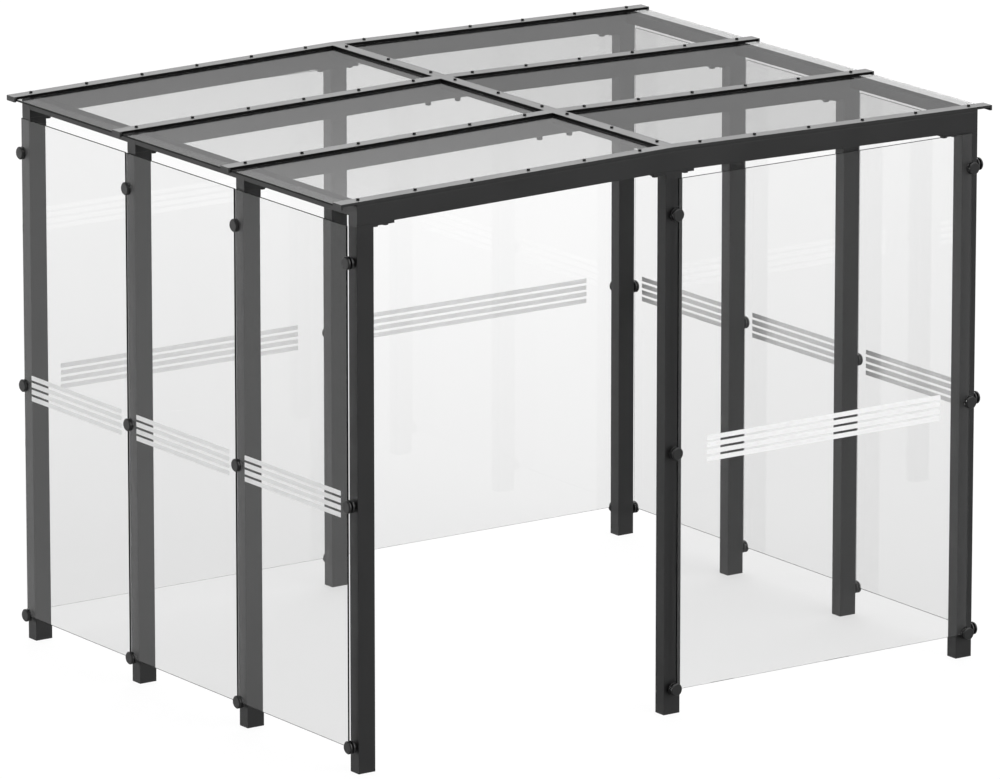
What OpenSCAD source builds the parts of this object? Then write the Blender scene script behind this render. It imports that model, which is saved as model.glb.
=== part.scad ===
// Glazed shelter: an open steel frame with clear walls on three and a half sides
// and a shallow glass roof. Millimetres, Z up, the open half of the front faces -Y.

/* [Plan] */
// Outer width over the side posts, left to right
shelter_w = 3100; // [2400:10:4000]
// Outer depth over the front and rear posts
shelter_d = 2500; // [2000:10:3400]
// Height of the rafters' underside at the outer face of the side posts
eave_h = 2261; // [2000:1:2700]
// Fall of the roof to each side, in degrees
roof_pitch = 1; // [0.5:0.1:4]

/* [Frame] */
// Post section, across the shelter
post_w = 80; // [50:1:120]
// Post section, front to rear, and the width of the rafters that sit on the posts
post_d = 60; // [40:1:100]
// Depth of the rafters
rafter_h = 80; // [60:1:140]
// Outer corner radius of the hollow sections
corner_r = 1; // [0.5:0.5:6]
// Eave beam section, across the shelter
eave_beam_w = 50; // [30:1:70]
// Eave beam depth
eave_beam_h = 45; // [25:1:60]
// Ridge beam section, across the shelter
ridge_beam_w = 60; // [40:1:90]
// Ridge beam depth
ridge_beam_h = 30; // [20:1:50]
// Length of the cleat plates that bolt the rafters to the side posts
cleat_l = 100; // [40:1:160]
// Length of the cleat plates at the middle posts
middle_cleat_l = 60; // [40:1:120]
// Thickness of the cleat plates
cleat_t = 10; // [5:1:16]

/* [Roof glazing] */
// Thickness of the roof panes
roof_glass_t = 8; // [4:1:16]
// Joint between neighbouring roof panes
roof_joint = 10; // [4:1:20]
// Reach of the roof panes past the outer face of the side posts
eave_overhang = 65; // [20:1:150]
// Width of the ridge caps; the cover caps are as wide as their rafters
cap_w = 60; // [40:1:90]
// Height of the caps above the panes
cap_h = 11; // [6:1:25]
// Wall of the caps
cap_wall = 3; // [1.5:0.5:5]
// Thickness of the turned-down end that stops the panes
stop_t = 10; // [4:1:20]
// Height of the turned-down end, from the top of the cap
stop_h = 22; // [20:1:40]
// Clearance between a roof pane and the stops
stop_clearance = 0.3; // [0.1:0.1:2]

/* [Wall glazing] */
// Thickness of the wall panes
glass_t = 8; // [6:1:16]
// Height of the wall panes' lower edge
glass_bottom = 110; // [60:1:300]
// Joint between neighbouring wall panes
glass_joint = 10; // [8:1:20]
// Distance from the posts to the wall panes
standoff = 20; // [10:1:50]

/* [Point fixings] */
// Diameter of the two clamping discs
disc_d = 54; // [40:1:80]
// Thickness of the outer clamping disc
disc_t = 10; // [6:1:20]
// Thickness of the inner clamping disc
inner_disc_t = 7; // [4:1:8]
// Diameter of the boss that holds the inner disc off the post
boss_d = 28; // [20:1:36]
// Chamfer around the outer clamping disc
disc_chamfer = 4; // [0.5:0.5:5]
// Clearance between the fixing's stem and the pane edges
stem_clearance = 1; // [0.5:0.5:2]
// Height of the lowest fixing above the panes' lower edge
low_inset = 0; // [0:1:150]
// Drop of the highest fixing below the panes' upper edge
top_inset = 151; // [60:1:400]

/* [Hidden] */

paint_colour = "#35373a";
wall_glass_colour = [0.90, 0.95, 0.94, 0.35];
roof_glass_colour = [0.62, 0.65, 0.67, 0.45];
rubber_colour = "#1b1b1c";

$fn = 48;

// Post rows from front to rear, the bays between them, and the two sides
ROWS = ["front", "second", "third", "rear"];
BAYS = ["front", "middle", "rear"];
SIDES = [["left", -1], ["right", 1]];
last_row = len(ROWS) - 1;
last_bay = len(BAYS) - 1;

half_w = shelter_w / 2;
half_d = shelter_d / 2;
side_x = half_w - post_w / 2;
row_pitch = (shelter_d - post_d) / last_row;
function row_y(row) = row * row_pitch - half_d + post_d / 2;

// Roof lines, as heights above the rafters' underside measured straight up
function under_z(x) = eave_h + (half_w - abs(x)) * tan(roof_pitch);
function upright(thickness) = thickness / cos(roof_pitch);
seat = upright(rafter_h);
pane_top = seat + upright(roof_glass_t);
cap_top = pane_top + upright(cap_h);
pane_x = half_w + eave_overhang;
stop_x = pane_x + stop_clearance;
cap_x = stop_x + stop_t;
sky = eave_h;

// Wall glass and its fixings
glass_top = eave_h;
glass_face = standoff + glass_t;
stem_d = glass_joint - 2 * stem_clearance;
low_z = glass_bottom + low_inset;
top_z = glass_top - top_inset;
fixing_heights = [low_z, (low_z + top_z) / 2, top_z];

// Hollow-section outline with rounded corners, centred
module section(w, h) {
    square([w, h - 2 * corner_r], center = true);
    square([w - 2 * corner_r, h], center = true);
    for (x = [-1, 1], y = [-1, 1])
        translate([x * (w / 2 - corner_r), y * (h / 2 - corner_r)]) circle(r = corner_r);
}

// Upright slice of the roof between two heights, from x0 out to x1 on one side
module slope(side, x0, x1, low, high, y0, y1) {
    outline = [
        [side * x0, under_z(x0) + low], [side * x1, under_z(x1) + low],
        [side * x1, under_z(x1) + high], [side * x0, under_z(x0) + high]
    ];
    translate([0, y1, 0]) rotate([90, 0, 0]) linear_extrude(y1 - y0) polygon(outline);
}

// The same slice carried over the ridge to both sides
module gable(x1, low, high, y0, y1) {
    outline = [
        [-x1, under_z(x1) + low], [0, under_z(0) + low], [x1, under_z(x1) + low],
        [x1, under_z(x1) + high], [0, under_z(0) + high], [-x1, under_z(x1) + high]
    ];
    translate([0, y1, 0]) rotate([90, 0, 0]) linear_extrude(y1 - y0) polygon(outline);
}

// Moves what lies along +X onto the falling side of the roof, at the rafters' underside
module on_slope(side) {
    mirror([side < 0 ? 1 : 0, 0, 0])
        translate([0, 0, under_z(0)]) rotate([0, roof_pitch, 0]) children();
}

// Post with its head cut to the underside of its rafter
module post(x, row) {
    color(paint_colour) difference() {
        translate([x, row_y(row), 0]) linear_extrude(under_z(0) + post_w) section(post_w, post_d);
        gable(shelter_w, 0, sky, row_y(row) - post_d, row_y(row) + post_d);
    }
}

// Rafter cranked at the ridge, with its ends cut flush with the posts
module rafter(row) {
    color(paint_colour) for (side = SIDES) intersection() {
        on_slope(side[1]) translate([-rafter_h, row_y(row), rafter_h / 2])
            rotate([90, 0, 90]) linear_extrude(half_w + 2 * rafter_h) section(post_d, rafter_h);
        translate([side[1] < 0 ? -half_w : 0, row_y(row) - post_d, 0])
            cube([half_w, 2 * post_d, under_z(0) + 2 * rafter_h]);
    }
}

// Eave beams of one side, one in each bay, square to the roof slope under the panes
module eave_beams(side) {
    outer = half_w / cos(roof_pitch) - rafter_h * tan(roof_pitch);
    color(paint_colour) for (bay = [0:last_bay])
        on_slope(side)
            translate([outer - eave_beam_w / 2, row_y(bay + 1) - post_d / 2, rafter_h - eave_beam_h / 2])
                rotate([90, 0, 0]) linear_extrude(row_pitch - post_d) section(eave_beam_w, eave_beam_h);
}

// Ridge beams, one in each bay, with their tops dressed to both roof slopes
module ridge_beams() {
    color(paint_colour) for (bay = [0:last_bay]) difference() {
        translate([0, row_y(bay + 1) - post_d / 2, under_z(0) + seat - ridge_beam_h / 2])
            rotate([90, 0, 0]) linear_extrude(row_pitch - post_d) section(ridge_beam_w, ridge_beam_h);
        gable(shelter_w, seat, sky, row_y(bay), row_y(bay + 1));
    }
}

// Cleat plates under the rafters, against the inner face of every post
module head_cleats() {
    color(paint_colour) for (row = [0:last_row], side = SIDES) {
        near = side_x - post_w / 2;
        slope(side[1], near - cleat_l, near, -cleat_t, 0, row_y(row) - post_d / 2, row_y(row) + post_d / 2);
        if (row == 0 || row == last_row)
            slope(side[1], post_w / 2, post_w / 2 + middle_cleat_l, -cleat_t, 0,
                  row_y(row) - post_d / 2, row_y(row) + post_d / 2);
    }
}

// Roof pane of one bay and side
module roof_pane(side, bay) {
    color(roof_glass_colour)
        slope(side, roof_joint / 2, pane_x, seat, pane_top,
              row_y(bay) + roof_joint / 2, row_y(bay + 1) - roof_joint / 2);
}

// Packers as thick as the panes, under the outer half of the two end caps
module edge_packers() {
    packer_w = (post_d - roof_joint) / 2;
    color(rubber_colour) {
        gable(half_w, seat, pane_top, -half_d, -half_d + packer_w);
        gable(half_w, seat, pane_top, half_d - packer_w, half_d);
    }
}

// Cover cap over a rafter: a shallow channel with its ends turned down over the pane edges
module cover_cap(row) {
    near = row_y(row) - post_d / 2;
    far = row_y(row) + post_d / 2;
    color(paint_colour) {
        difference() {
            gable(cap_x, pane_top, cap_top, near, far);
            gable(stop_x, pane_top - cap_h, cap_top - upright(cap_wall), near + cap_wall, far - cap_wall);
        }
        for (side = SIDES) slope(side[1], stop_x, cap_x, cap_top - upright(stop_h), cap_top, near, far);
    }
}

// Ridge caps, one in each bay, between the cover caps
module ridge_caps() {
    color(paint_colour) for (bay = [0:last_bay]) {
        near = row_y(bay) + post_d / 2;
        far = row_y(bay + 1) - post_d / 2;
        difference() {
            gable(cap_w / 2, pane_top, cap_top, near, far);
            gable(cap_w / 2 - cap_wall, pane_top - cap_h, cap_top - upright(cap_wall),
                  near - cap_wall, far + cap_wall);
        }
    }
}

// Wall pane of one side and bay
module side_pane(side, bay) {
    y0 = row_y(bay) + glass_joint / 2;
    x0 = side < 0 ? -half_w - glass_face : half_w + standoff;
    color(wall_glass_colour) translate([x0, y0, glass_bottom])
        cube([glass_t, row_pitch - glass_joint, glass_top - glass_bottom]);
}

// Wall pane across the front or the rear, on one side of the middle post
module end_pane(end, side) {
    x0 = side < 0 ? glass_joint / 2 - side_x : glass_joint / 2;
    y0 = end < 0 ? -half_d - glass_face : half_d + standoff;
    color(wall_glass_colour) translate([x0, y0, glass_bottom])
        cube([side_x - glass_joint, glass_t, glass_top - glass_bottom]);
}

// Point fixing, turned about +Z from its seat on the post: boss, inner disc, stem and outer disc
module fixing() {
    boss_l = standoff - inner_disc_t;
    reach = glass_face + disc_t;
    outline = [
        [0, 0], [boss_d / 2, 0], [boss_d / 2, boss_l], [disc_d / 2, boss_l],
        [disc_d / 2, standoff], [stem_d / 2, standoff],
        [stem_d / 2, glass_face], [disc_d / 2, glass_face], [disc_d / 2, reach - disc_chamfer],
        [disc_d / 2 - disc_chamfer, reach], [0, reach]
    ];
    rotate_extrude() polygon(outline);
}

// Fixings on the outer faces of one row of side posts
module side_fixings(side) {
    color(paint_colour) for (row = [0:last_row], z = fixing_heights)
        translate([side * half_w, row_y(row), z]) rotate([0, side * 90, 0]) fixing();
}

// Fixings on the outer faces of the front or rear posts
module end_fixings(end, post_list) {
    color(paint_colour) for (x = post_list, z = fixing_heights)
        translate([x, end * half_d, z]) rotate([-end * 90, 0, 0]) fixing();
}

for (side = SIDES, row = [0:last_row])
    post(side[1] * side_x, row);
post(0, 0);  // post_middle_front
post(0, last_row);  // post_middle_rear
for (row = [0:last_row])
    rafter(row);
for (side = SIDES)
    eave_beams(side[1]);
ridge_beams();
head_cleats();
for (side = SIDES, bay = [0:last_bay])
    roof_pane(side[1], bay);
edge_packers();
for (row = [0:last_row])
    cover_cap(row);
ridge_caps();
for (side = SIDES, bay = [0:last_bay])
    side_pane(side[1], bay);
for (side = SIDES)
    end_pane(1, side[1]);
end_pane(-1, 1);  // wall_pane_front_right
for (side = SIDES)
    side_fixings(side[1]);
end_fixings(1, [-side_x, 0, side_x]);  // fixings_rear
end_fixings(-1, [0, side_x]);  // fixings_front
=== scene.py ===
"""Looks of the glazed shelter: satin black paint, clear glass with white markings on the walls,
and the screws, nuts and gaskets that hold it, on a white studio floor."""

import math

import bmesh
import bpy
from mathutils import Matrix, Vector


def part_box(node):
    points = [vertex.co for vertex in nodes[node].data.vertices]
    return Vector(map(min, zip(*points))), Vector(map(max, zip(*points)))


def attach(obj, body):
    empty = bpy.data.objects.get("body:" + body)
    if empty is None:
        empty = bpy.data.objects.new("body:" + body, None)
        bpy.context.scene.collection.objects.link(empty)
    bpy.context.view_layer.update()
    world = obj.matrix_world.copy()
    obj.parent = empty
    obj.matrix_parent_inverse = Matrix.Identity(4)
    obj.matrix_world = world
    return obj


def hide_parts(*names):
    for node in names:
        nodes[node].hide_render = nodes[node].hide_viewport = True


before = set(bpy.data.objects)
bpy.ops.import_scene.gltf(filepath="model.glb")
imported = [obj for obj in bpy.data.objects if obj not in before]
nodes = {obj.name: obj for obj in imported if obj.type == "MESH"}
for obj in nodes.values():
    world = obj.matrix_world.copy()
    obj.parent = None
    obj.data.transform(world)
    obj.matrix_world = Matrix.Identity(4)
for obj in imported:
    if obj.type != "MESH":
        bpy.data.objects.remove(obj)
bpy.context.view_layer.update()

ROWS = ("front", "second", "third", "rear")
BAYS = ("front", "middle", "rear")
SIDES = {"left": -1, "right": 1}
ROOF_PITCH = math.radians(1)
QUARTER_TURN = math.radians(90)
RIGHTWARD = Vector((1, 0, 0))
REARWARD = Vector((0, 1, 0))
UPWARD = Vector((0, 0, 1))

# Opaque finishes: clouds of tone and gloss, and a fine grain
CLOUD_SCALE = 4.0
CLOUD_DETAIL = 3
CLOUD_RANGE = (0.3, 0.7)
GRAIN_DETAIL = 2
GRAIN_DEPTH = 0.0004
PLAIN_SPECULAR = 0.5
PAINT_TONES = ((0.0045, 0.0046, 0.0048, 1), (0.0060, 0.0061, 0.0063, 1))
# Near-black tones of the glass edges: painted shade for the dark look of refraction at the pane edges
GLASS_EDGE_PAINTED_SHADE_TONES = ((0.0010, 0.0014, 0.0013, 1), (0.0018, 0.0024, 0.0022, 1))

# Wall and roof glass; GLASS_PASSES is the share of scattered light that passes each face
GLASS_IOR = 1.5
GLASS_PASSES = 0.93
GLASS_CLOUD_SCALE = 1.5
ARRIS = 0.001
FACE_COSINE = 0.9
MERGE_DISTANCE = 1e-5
FLAT_ANGLE = math.radians(0.2)

# White markings on the right or rear face of every wall pane
BAND_HEIGHT = 0.020
BAND_PITCH = 0.030
BAND_COUNT = 4
BAND_LOWEST = 1.0536
BAND_FILM = 0.0003
BAND_GAP = 0.0001
BAND_CORNER = 0.0015
BAND_CORNER_STEPS = 3
SIDE_BAND_LENGTH = 0.700
END_BAND_LENGTH = 1.200

# Point fixings
FIXING_SEGMENTS = 64
FIXING_SMOOTH_BELOW = math.radians(30)
FIXING_HEIGHTS = (0.110, 1.110, 2.110)
BOSS_RADIUS = 0.014
DISC_RADIUS = 0.027
STEM_RADIUS = 0.004
BOSS_LENGTH = 0.013
STANDOFF = 0.020
GLASS_FACE = 0.028
FIXING_REACH = 0.038
DISC_CHAMFER = 0.004
EDGE_BREAK = 0.0008

# Crowns of hexagon heads and nuts
HEXAGON_SIDES = 6
CROWN_SHARE = 0.95
CROWN_ANGLE = math.radians(30)

# Hexagon screws in the caps
SCREW_PITCH = 0.275
SCREW_FIRST = 0.150
SCREWS_PER_SLOPE = 6
RIDGE_SCREW_PITCH = 0.3167
SCREW_FLANGE_RADIUS = 0.008
SCREW_FLANGE_HEIGHT = 0.0012
SCREW_FLANGE_TAPER = 0.85
SCREW_FLANGE_SEGMENTS = 24
SCREW_FLATS = 0.0125
SCREW_HEIGHT = 0.0075

# Gaskets that seal the caps on the roof glass, as (off the cap, above the glass); their near-black,
# barely reflecting rubber is partly painted shade along the cap sides
GASKET_OUTLINE = (
    (0, 0), (0.0030, 0), (0.0030, 0.0010), (0.0015, 0.0030), (0.0015, 0.0095), (0, 0.0095),
)

# Nuts under the cleats and under the middle of the inner rafters
CLEAT_THICKNESS = 0.010
MIDDLE_NUT_X = 0.075
SIDE_NUTS_X = (1.395, 1.445)
CLEAT_NUT_FLATS = 0.025
CLEAT_NUT_HEIGHT = 0.010
RAFTER_NUT_FLATS = 0.0235
RAFTER_NUT_HEIGHT = 0.0188
DOME_RADIUS = 0.0108
DOME_HEIGHT = 0.0025
DOME_RINGS = 6
DOME_SEGMENTS = 32
DOME_END = math.radians(85)

# Camera
CAMERA_PLACE = Vector((-22.026, -31.720, 10.778))
CAMERA_RIGHT = Vector((0.82128, -0.57052, 0))
CAMERA_UP = Vector((0.13845, 0.19930, 0.97012))
CAMERA_LENS = 342.18
CAMERA_SENSOR = 36
CAMERA_REACH = 1000

# Studio light; each softbox has a direction, the cosines where it starts and is full, and a radiance
AMBIENT = 0.33
REAR_BOX = ((0.40, 0.58, 0.71), (0.84, 0.96), 4.8)
FRONT_BOX = ((0.25, -0.80, 0.55), (0.60, 0.95), 2.4)
SIDE_BOX = ((-0.57, 0.82, 0.05), (0.95, 0.995), 12.5)

# Studio floor: its real tone, how bright it is shown, and the share of its shadows that shows
FLOOR_SIZE = 200
FLOOR_ALBEDO = 0.6
FLOOR_WHITE = 1.05
FLOOR_SHADOW_SHARE = 0.12
GLASS_SHADOW_SHARE = 0.33

# Brightness of the floor through glass by its distance, darker near the shelter as painted shade and
# brighter far off, and in reflections by its Y
FLOOR_THROUGH_GLASS_PAINTED_SHADE = ((0.5, 0.925), (11.0, 1.14))
FLOOR_IN_GLOSS = ((-2.0, 0.35), (2.0, 0.48))

# Between no bounce of a ray and one
HALF_BOUNCE = 0.5


# Shader nodes

def grey(level):
    return (level, level, level, 1)


def feed(tree, value, socket):
    """Sets a socket to a number, or links it to the output of another node."""
    if isinstance(value, (int, float)):
        socket.default_value = value
    else:
        tree.links.new(value, socket)


def math_node(tree, operation, first, second):
    node = tree.nodes.new("ShaderNodeMath")
    node.operation = operation
    feed(tree, first, node.inputs[0])
    feed(tree, second, node.inputs[1])
    return node.outputs["Value"]


def change(tree, measure, near, far, interpolation="LINEAR"):
    """A value that changes with a measure from near to far, each given as (measure, value)."""
    node = tree.nodes.new("ShaderNodeMapRange")
    node.interpolation_type = interpolation
    node.inputs["From Min"].default_value = near[0]
    node.inputs["From Max"].default_value = far[0]
    node.inputs["To Min"].default_value = near[1]
    node.inputs["To Max"].default_value = far[1]
    tree.links.new(measure, node.inputs["Value"])
    return node.outputs["Result"]


def soft_change(tree, measure, near, far):
    return change(tree, measure, near, far, "SMOOTHSTEP")


def noise(tree, coordinates, scale, detail):
    node = tree.nodes.new("ShaderNodeTexNoise")
    node.inputs["Scale"].default_value = scale
    node.inputs["Detail"].default_value = detail
    tree.links.new(coordinates, node.inputs["Vector"])
    return node.outputs["Fac"]


def two_tone(tree, value, first, second):
    node = tree.nodes.new("ShaderNodeMix")
    node.data_type = "RGBA"
    colour_in = [socket for socket in node.inputs if socket.type == "RGBA"]
    colour_in[0].default_value = first
    colour_in[1].default_value = second
    tree.links.new(value, node.inputs["Factor"])
    return [socket for socket in node.outputs if socket.type == "RGBA"][0]


def bump(tree, shader, height, strength):
    node = tree.nodes.new("ShaderNodeBump")
    node.inputs["Strength"].default_value = strength
    node.inputs["Distance"].default_value = GRAIN_DEPTH
    tree.links.new(height, node.inputs["Height"])
    tree.links.new(node.outputs["Normal"], shader.inputs["Normal"])


def mix_shaders(tree, factor, first, second):
    node = tree.nodes.new("ShaderNodeMixShader")
    tree.links.new(factor, node.inputs["Fac"])
    tree.links.new(first, node.inputs[1])
    tree.links.new(second, node.inputs[2])
    return node.outputs["Shader"]


def show(tree, shader):
    """Makes a shader the surface of its material."""
    tree.links.new(shader, tree.nodes["Material Output"].inputs["Surface"])


# Materials

def new_material(name):
    """A node material with its principled shader and object coordinates."""
    material = bpy.data.materials.new(name)
    material.use_nodes = True
    tree = material.node_tree
    shader = tree.nodes["Principled BSDF"]
    coordinates = tree.nodes.new("ShaderNodeTexCoord")
    return material, tree, shader, coordinates.outputs["Object"]


def mottled(name, tones, roughness, grain_scale, grain, specular=PLAIN_SPECULAR):
    """An opaque finish with soft clouds of colour, uneven gloss and a fine grain."""
    material, tree, shader, coordinates = new_material(name)
    clouds = noise(tree, coordinates, CLOUD_SCALE, CLOUD_DETAIL)
    grains = noise(tree, coordinates, grain_scale, GRAIN_DETAIL)
    gloss = change(tree, clouds, *zip(CLOUD_RANGE, roughness))
    tree.links.new(two_tone(tree, clouds, *tones), shader.inputs["Base Color"])
    tree.links.new(gloss, shader.inputs["Roughness"])
    shader.inputs["Specular IOR Level"].default_value = specular
    bump(tree, shader, grains, grain)
    return material


def satin_paint(name):
    return mottled(
        name, PAINT_TONES, roughness=(0.37, 0.46), grain_scale=900, grain=0.06, specular=0.56)


def clear_shader(shader, tint):
    shader.inputs["Roughness"].default_value = 0
    shader.inputs["IOR"].default_value = GLASS_IOR
    shader.inputs["Transmission Weight"].default_value = 1
    shader.inputs["Base Color"].default_value = tint


def clear_glass(name, first, second):
    """Clear glass that lets scattered light pass straight through, as a flat pane does."""
    material, tree, shader, coordinates = new_material(name)
    clear_shader(shader, first)
    clouds = noise(tree, coordinates, GLASS_CLOUD_SCALE, CLOUD_DETAIL)
    tree.links.new(two_tone(tree, clouds, first, second), shader.inputs["Base Color"])
    straight = tree.nodes.new("ShaderNodeBsdfTransparent")
    straight.inputs["Color"].default_value = grey(GLASS_PASSES)
    rays = tree.nodes.new("ShaderNodeLightPath").outputs
    scattered = math_node(tree, "MAXIMUM", rays["Is Shadow Ray"], rays["Is Diffuse Ray"])
    show(tree, mix_shaders(tree, scattered, shader.outputs["BSDF"], straight.outputs["BSDF"]))
    return material


def painted_shade_edge(name, tint):
    """Glass edge painted near-black from outside as painted shade, and as clear as the faces from
    inside the pane.
    """
    material = mottled(
        name, GLASS_EDGE_PAINTED_SHADE_TONES, roughness=(0.40, 0.55), grain_scale=600, grain=0.05, specular=0.15)
    tree = material.node_tree
    dark = tree.nodes["Principled BSDF"]
    clear = tree.nodes.new("ShaderNodeBsdfPrincipled")
    clear_shader(clear, tint)
    inside = tree.nodes.new("ShaderNodeNewGeometry").outputs["Backfacing"]
    show(tree, mix_shaders(tree, inside, dark.outputs["BSDF"], clear.outputs["BSDF"]))
    return material


paint = satin_paint("satin_paint")
fixing_paint = satin_paint("fixing_paint")
wall_glass = clear_glass("wall_glass", grey(0.971), grey(0.978))
roof_glass = clear_glass("roof_glass", grey(0.978), grey(0.985))
# Pane edges painted near-black from outside: painted shade
glass_edge_painted_shade = painted_shade_edge("glass_edge_painted_shade", grey(0.975))
rubber = mottled(
    "packer_rubber", (grey(0.004), grey(0.006)), roughness=(0.55, 0.70), grain_scale=1200, grain=0.15)
film = mottled(
    "white_film", (grey(0.86), grey(0.89)), roughness=(0.42, 0.52), grain_scale=1500, grain=0.05)
black_steel = mottled(
    "black_steel", (grey(0.003), grey(0.006)),
    roughness=(0.45, 0.60), grain_scale=1400, grain=0.10, specular=0.25)
# Gasket rubber, near-black and barely reflecting: partly real rubber, partly painted shade on the cap
# sides
gasket_rubber_and_painted_shade = mottled(
    "gasket_rubber_and_painted_shade", (grey(0.002), grey(0.004)),
    roughness=(0.60, 0.75), grain_scale=1300, grain=0.12, specular=0.05)


# Solids

def add_piece(name, bm, materials, smooth_below=None):
    """Turns a bmesh into a piece of the shelter."""
    bmesh.ops.recalc_face_normals(bm, faces=bm.faces)
    mesh = bpy.data.meshes.new(name)
    bm.to_mesh(mesh)
    bm.free()
    for material in materials:
        mesh.materials.append(material)
    if smooth_below is not None:
        mesh.shade_smooth()
        mesh.set_sharp_from_angle(angle=smooth_below)
    piece = bpy.data.objects.new(name, mesh)
    bpy.context.scene.collection.objects.link(piece)
    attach(piece, "root")
    return piece


def skin(bm, rings):
    """Closed solid over rings of equally many points, with flat ends."""
    count = len(rings[0])
    for low, high in zip(rings, rings[1:]):
        for step in range(count):
            after = (step + 1) % count
            bm.faces.new((low[step], low[after], high[after], high[step]))
    bm.faces.new(list(reversed(rings[0])))
    bm.faces.new(rings[-1])


def ring(bm, place, radius, height, segments):
    points = []
    for step in range(segments):
        angle = math.tau * step / segments
        local = Vector((radius * math.cos(angle), radius * math.sin(angle), height))
        points.append(bm.verts.new(place @ local))
    return points


def lathe(bm, place, outline, segments):
    """Solid turned about place's Z from a list of (radius, height)."""
    skin(bm, [ring(bm, place, radius, height, segments) for radius, height in outline])


def hexagon(bm, place, flats, low, high):
    """Hexagonal head or nut with a chamfered crown."""
    corner = flats / math.sqrt(3)
    crown = flats / 2 * CROWN_SHARE
    chamfer = (corner - crown) * math.tan(CROWN_ANGLE)
    outline = [(corner, low), (corner, high - chamfer), (crown, high)]
    lathe(bm, place, outline, HEXAGON_SIDES)


def axes(x_axis, y_axis, z_axis):
    """Turn that lays X, Y and Z along three directions."""
    return Matrix((x_axis, y_axis, z_axis)).transposed().to_4x4()


# Glass and its markings

def glass_pane(node, glass):
    """The pane of a node with ground arrises; its faces are glass and its edges are painted near-black
    as painted shade.
    """
    bm = bmesh.new()
    bm.from_mesh(nodes[node].data)
    bmesh.ops.remove_doubles(bm, verts=bm.verts, dist=MERGE_DISTANCE)
    bmesh.ops.dissolve_limit(bm, angle_limit=FLAT_ANGLE, verts=bm.verts, edges=bm.edges)
    bmesh.ops.bevel(
        bm, geom=bm.edges[:], offset=ARRIS, offset_type="OFFSET", segments=1, affect="EDGES")
    bm.normal_update()
    broad = max(bm.faces, key=lambda face: face.calc_area()).normal.copy()
    for face in bm.faces:
        face.material_index = 0 if abs(face.normal.dot(broad)) > FACE_COSINE else 1
    pane = add_piece(f"glass_{node}", bm, (glass, glass_edge_painted_shade))
    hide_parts(node)


def rounded_outline(length, height, radius):
    """Outline of a rectangle with rounded corners, centred, as (along, up)."""
    points = []
    for quarter, (along, up) in enumerate(((1, 1), (-1, 1), (-1, -1), (1, -1))):
        centre_along = along * (length / 2 - radius)
        centre_up = up * (height / 2 - radius)
        for step in range(BAND_CORNER_STEPS + 1):
            angle = QUARTER_TURN * (quarter + step / BAND_CORNER_STEPS)
            points.append((
                centre_along + radius * math.cos(angle),
                centre_up + radius * math.sin(angle),
            ))
    return points


def band(bm, place, length):
    """One strip of film: place's X runs along it, Y up and Z off the glass."""
    outline = rounded_outline(length, BAND_HEIGHT, BAND_CORNER)
    heights = (BAND_GAP, BAND_GAP + BAND_FILM)
    skin(bm, [[bm.verts.new(place @ Vector((x, y, z))) for x, y in outline] for z in heights])


def markings(node, length, along, off_glass):
    """The strips of one wall pane, on the face that off_glass points away from."""
    low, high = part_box(node)
    middle = (low + high) / 2
    turn = axes(along, UPWARD, off_glass)
    bm = bmesh.new()
    for step in range(BAND_COUNT):
        centre = Vector(middle)
        centre.z = BAND_LOWEST + BAND_HEIGHT / 2 + step * BAND_PITCH
        centre += off_glass * (high - centre).dot(off_glass)
        band(bm, Matrix.Translation(centre) @ turn, length)
    add_piece(f"markings_{node}", bm, (film,))


for side in SIDES:
    for bay in BAYS:
        glass_pane(f"roof_pane_{side}_{bay}", roof_glass)
        glass_pane(f"wall_pane_{side}_{bay}", wall_glass)
        markings(f"wall_pane_{side}_{bay}", SIDE_BAND_LENGTH, REARWARD, RIGHTWARD)
for pane in ("rear_left", "rear_right", "front_right"):
    glass_pane(f"wall_pane_{pane}", wall_glass)
    markings(f"wall_pane_{pane}", END_BAND_LENGTH, RIGHTWARD, REARWARD)


# Point fixings

def fixing(bm, place):
    """Boss, stem and two clamping discs, turned about place's Z from the face of the post."""
    boss = [(BOSS_RADIUS, 0), (BOSS_RADIUS, BOSS_LENGTH)]
    inner_disc = [
        (DISC_RADIUS - EDGE_BREAK, BOSS_LENGTH), (DISC_RADIUS, BOSS_LENGTH + EDGE_BREAK),
        (DISC_RADIUS, STANDOFF - EDGE_BREAK), (DISC_RADIUS - EDGE_BREAK, STANDOFF),
    ]
    stem = [(STEM_RADIUS, STANDOFF), (STEM_RADIUS, GLASS_FACE)]
    outer_disc = [
        (DISC_RADIUS - EDGE_BREAK, GLASS_FACE), (DISC_RADIUS, GLASS_FACE + EDGE_BREAK),
        (DISC_RADIUS, FIXING_REACH - DISC_CHAMFER), (DISC_RADIUS - DISC_CHAMFER, FIXING_REACH),
    ]
    lathe(bm, place, boss + inner_disc + stem + outer_disc, FIXING_SEGMENTS)


def fixings(node, turn, posts):
    """All fixings of one wall: posts are the points on the posts' outer faces, at ground level."""
    bm = bmesh.new()
    for post in posts:
        for height in FIXING_HEIGHTS:
            fixing(bm, Matrix.Translation(post + UPWARD * height) @ turn)
    piece = add_piece(f"turned_{node}", bm, (fixing_paint,), FIXING_SMOOTH_BELOW)
    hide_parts(node)


def post_face(node, x_side, y_side):
    """Middle of a post's outer face on one side, at ground level."""
    low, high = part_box(node)
    middle = (low + high) / 2
    reach = (high - low) / 2
    return Vector((middle.x + x_side * reach.x, middle.y + y_side * reach.y, 0))


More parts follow.
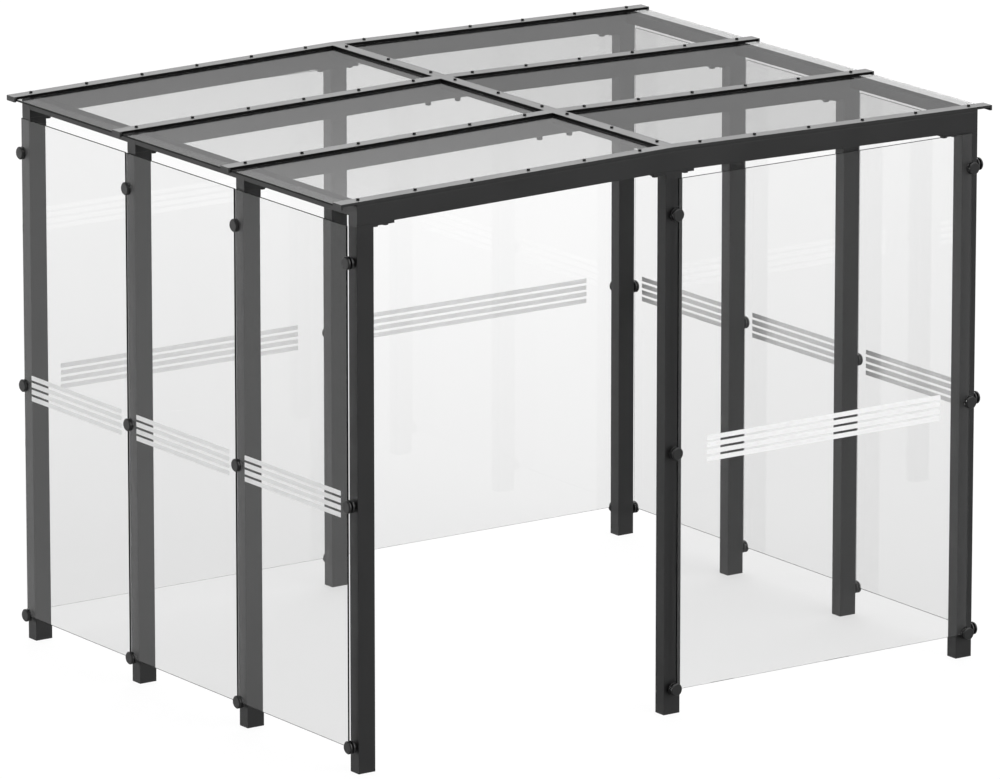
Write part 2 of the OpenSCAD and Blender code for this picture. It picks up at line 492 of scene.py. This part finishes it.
for side, sign in SIDES.items():
    outward = Matrix.Rotation(sign * QUARTER_TURN, 4, "Y")
    fixings(f"fixings_{side}", outward, [post_face(f"post_{side}_{row}", sign, 0) for row in ROWS])
forward = Matrix.Rotation(QUARTER_TURN, 4, "X")
backward = Matrix.Rotation(-QUARTER_TURN, 4, "X")
front_posts = ("middle", "right")
rear_posts = ("left", "middle", "right")
fixings("fixings_front", forward, [post_face(f"post_{post}_front", 0, -1) for post in front_posts])
fixings("fixings_rear", backward, [post_face(f"post_{post}_rear", 0, 1) for post in rear_posts])


# Screws, gaskets and nuts of the roof

def on_roof(x, y, ridge_height):
    """Place square to the roof slope at x, on the surface that is ridge_height at the ridge."""
    height = ridge_height - abs(x) * math.tan(ROOF_PITCH)
    tilt = math.copysign(ROOF_PITCH, x) if x else 0
    return Matrix.Translation((x, y, height)) @ Matrix.Rotation(tilt, 4, "Y")


def row_centre(row):
    low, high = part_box(f"rafter_{row}")
    return (low.y + high.y) / 2


cap_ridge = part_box("cover_cap_front")[1].z
rafter_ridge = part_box("post_middle_front")[1].z
row_y = {row: row_centre(row) for row in ROWS}


def cap_screw(bm, place):
    """Flanged hexagon screw that stands on place."""
    flange = [
        (SCREW_FLANGE_RADIUS, 0), (SCREW_FLANGE_RADIUS, SCREW_FLANGE_HEIGHT / 2),
        (SCREW_FLANGE_RADIUS * SCREW_FLANGE_TAPER, SCREW_FLANGE_HEIGHT),
    ]
    lathe(bm, place, flange, SCREW_FLANGE_SEGMENTS)
    hexagon(bm, place, SCREW_FLATS, SCREW_FLANGE_HEIGHT, SCREW_HEIGHT)


for row in ROWS:
    bm = bmesh.new()
    for sign in SIDES.values():
        for step in range(SCREWS_PER_SLOPE):
            cap_screw(bm, on_roof(sign * (SCREW_FIRST + step * SCREW_PITCH), row_y[row], cap_ridge))
    add_piece(f"cap_screws_{row}", bm, (black_steel,))
bm = bmesh.new()
for near, far in zip(ROWS, ROWS[1:]):
    middle = (row_y[near] + row_y[far]) / 2
    for step in (-1, 0, 1):
        cap_screw(bm, on_roof(0, middle + step * RIDGE_SCREW_PITCH, cap_ridge))
add_piece("cap_screws_ridge", bm, (black_steel,))


def gasket(bm, start, end, outward):
    """Strip between two points on the glass, along the side of a cap that outward points to."""
    rings = []
    for point in (start, end):
        rings.append([bm.verts.new(point + outward * out + UPWARD * up) for out, up in GASKET_OUTLINE])
    skin(bm, rings)


ridge_cap_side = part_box("ridge_caps")[1].x
for side, sign in SIDES.items():
    for bay, near, far in zip(BAYS, ROWS, ROWS[1:]):
        low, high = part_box(f"roof_pane_{side}_{bay}")
        glass_ridge = high.z + min(abs(low.x), abs(high.x)) * math.tan(ROOF_PITCH)
        eave = max(abs(low.x), abs(high.x))
        y_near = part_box(f"cover_cap_{near}")[1].y
        y_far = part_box(f"cover_cap_{far}")[0].y
        bm = bmesh.new()
        for y, outward in ((y_near, REARWARD), (y_far, -REARWARD)):
            ends = [on_roof(sign * x, y, glass_ridge).translation for x in (ridge_cap_side, eave)]
            gasket(bm, *ends, outward)
        ends = [on_roof(sign * ridge_cap_side, y, glass_ridge).translation for y in (y_near, y_far)]
        gasket(bm, *ends, sign * RIGHTWARD)
        add_piece(f"gaskets_{side}_{bay}", bm, (gasket_rubber_and_painted_shade,))


def cleat_nut(bm, x, row):
    """Plain hexagon nut under a cleat."""
    seat = on_roof(x, row_y[row], rafter_ridge - CLEAT_THICKNESS)
    hexagon(bm, seat @ Matrix.Rotation(math.pi, 4, "X"), CLEAT_NUT_FLATS, 0, CLEAT_NUT_HEIGHT)


def rafter_nut(bm, x, row):
    """Hexagon nut with a domed end, under a rafter."""
    down = on_roof(x, row_y[row], rafter_ridge) @ Matrix.Rotation(math.pi, 4, "X")
    hexagon(bm, down, RAFTER_NUT_FLATS, 0, RAFTER_NUT_HEIGHT)
    dome = []
    for step in range(DOME_RINGS + 1):
        angle = DOME_END * step / DOME_RINGS
        dome.append((DOME_RADIUS * math.cos(angle), RAFTER_NUT_HEIGHT + DOME_HEIGHT * math.sin(angle)))
    lathe(bm, down, dome, DOME_SEGMENTS)


for row in ROWS:
    bm = bmesh.new()
    middle_nut = cleat_nut if row in ("front", "rear") else rafter_nut
    for sign in SIDES.values():
        middle_nut(bm, sign * MIDDLE_NUT_X, row)
        for x in SIDE_NUTS_X:
            cleat_nut(bm, sign * x, row)
    add_piece(f"rafter_nuts_{row}", bm, (black_steel,))


# Finish of the nodes that keep their shape

def dress(prefix, material):
    for name, node in nodes.items():
        if name.startswith(prefix):
            node.data.materials.clear()
            node.data.materials.append(material)


for prefix in ("post_", "rafter_", "eave_beams_", "ridge_beams"):
    dress(prefix, paint)
for prefix in ("head_cleats", "cover_cap_", "ridge_caps"):
    dress(prefix, paint)
dress("edge_packers", rubber)


# Studio

def seen_through_glass(tree, rays):
    """1 for what is seen through glass, before any reflection or diffuse bounce."""
    bounces = math_node(tree, "ADD", rays["Diffuse Depth"], rays["Glossy Depth"])
    unbounced = math_node(tree, "LESS_THAN", bounces, HALF_BOUNCE)
    return math_node(tree, "MULTIPLY", rays["Is Transmission Ray"], unbounced)


def seen_in_gloss(tree, rays):
    """1 for what is seen in a reflection, before any diffuse bounce."""
    reflected = math_node(tree, "GREATER_THAN", rays["Glossy Depth"], HALF_BOUNCE)
    undiffused = math_node(tree, "LESS_THAN", rays["Diffuse Depth"], HALF_BOUNCE)
    return math_node(tree, "MULTIPLY", reflected, undiffused)


def soft_light(tree, direction, light, spread, gain):
    """Radiance of a softbox: gain in its middle, fading to nothing over its spread of cosines."""
    dot = tree.nodes.new("ShaderNodeVectorMath")
    dot.operation = "DOT_PRODUCT"
    dot.inputs[1].default_value = Vector(light).normalized()
    tree.links.new(direction, dot.inputs[0])
    return soft_change(tree, dot.outputs["Value"], (spread[0], 0), (spread[1], gain))


def studio_world():
    """Soft light on the object, and plain white where the camera sees past it."""
    world = bpy.data.worlds.new("studio")
    world.use_nodes = True
    tree = world.node_tree
    background = tree.nodes["Background"]
    direction = tree.nodes.new("ShaderNodeTexCoord").outputs["Generated"]
    rays = tree.nodes.new("ShaderNodeLightPath").outputs
    light = AMBIENT
    for box in (REAR_BOX, FRONT_BOX, SIDE_BOX):
        light = math_node(tree, "ADD", light, soft_light(tree, direction, *box))
    seen = math_node(tree, "ADD", rays["Is Camera Ray"], seen_through_glass(tree, rays))
    shown = tree.nodes.new("ShaderNodeMix")
    shown.inputs["B"].default_value = 1
    tree.links.new(seen, shown.inputs["Factor"])
    tree.links.new(light, shown.inputs["A"])
    tree.links.new(shown.outputs["Result"], background.inputs["Strength"])
    background.inputs["Color"].default_value = grey(1)
    bpy.context.scene.world = world


def floor_y(tree):
    place = tree.nodes.new("ShaderNodeSeparateXYZ")
    tree.links.new(tree.nodes.new("ShaderNodeTexCoord").outputs["Object"], place.inputs["Vector"])
    return place.outputs["Y"]


def floor_distance(tree):
    """Distance from the middle of the shelter."""
    length = tree.nodes.new("ShaderNodeVectorMath")
    length.operation = "LENGTH"
    tree.links.new(tree.nodes.new("ShaderNodeTexCoord").outputs["Object"], length.inputs[0])
    return length.outputs["Value"]


def glow(tree, strength):
    emission = tree.nodes.new("ShaderNodeEmission")
    feed(tree, strength, emission.inputs["Strength"])
    emission.inputs["Color"].default_value = grey(1)
    return emission.outputs["Emission"]


def floor_material():
    """A real floor for the light, shown white to the camera with a share of its shadows, and through
    glass darker near the shelter as painted shade.
    """
    material = bpy.data.materials.new("studio_floor")
    material.use_nodes = True
    tree = material.node_tree
    tree.nodes.remove(tree.nodes["Principled BSDF"])
    rays = tree.nodes.new("ShaderNodeLightPath").outputs
    diffuse = tree.nodes.new("ShaderNodeBsdfDiffuse")
    diffuse.inputs["Color"].default_value = grey(FLOOR_ALBEDO)
    in_gloss = soft_change(tree, floor_y(tree), *FLOOR_IN_GLOSS)
    # Painted shade: the floor seen through glass glows less near the shelter and more far off
    painted_shade_through_glass = soft_change(tree, floor_distance(tree), *FLOOR_THROUGH_GLASS_PAINTED_SHADE)
    shown = (
        (seen_in_gloss(tree, rays), 1, in_gloss),
        (rays["Is Camera Ray"], 1 - FLOOR_SHADOW_SHARE, FLOOR_WHITE),
        (seen_through_glass(tree, rays), 1 - GLASS_SHADOW_SHARE, painted_shade_through_glass),
    )
    shader = diffuse.outputs["BSDF"]
    for seen, share, strength in shown:
        factor = math_node(tree, "MULTIPLY", seen, share)
        shader = mix_shaders(tree, factor, shader, glow(tree, strength))
    show(tree, shader)
    return material


def studio_floor():
    half = FLOOR_SIZE / 2
    mesh = bpy.data.meshes.new("studio_floor")
    corners = [(-half, -half, 0), (half, -half, 0), (half, half, 0), (-half, half, 0)]
    mesh.from_pydata(corners, [], [(0, 1, 2, 3)])
    mesh.materials.append(floor_material())
    floor = bpy.data.objects.new("studio_floor", mesh)
    bpy.context.scene.collection.objects.link(floor)


def photo_camera():
    lens = bpy.data.cameras.new("camera")
    lens.lens = CAMERA_LENS
    lens.sensor_width = CAMERA_SENSOR
    lens.clip_end = CAMERA_REACH
    camera = bpy.data.objects.new("camera", lens)
    turn = axes(CAMERA_RIGHT, CAMERA_UP, CAMERA_RIGHT.cross(CAMERA_UP))
    camera.matrix_world = Matrix.Translation(CAMERA_PLACE) @ turn
    bpy.context.scene.collection.objects.link(camera)
    bpy.context.scene.camera = camera


studio_world()
studio_floor()
photo_camera()
bpy.context.scene.view_settings.view_transform = "Standard"
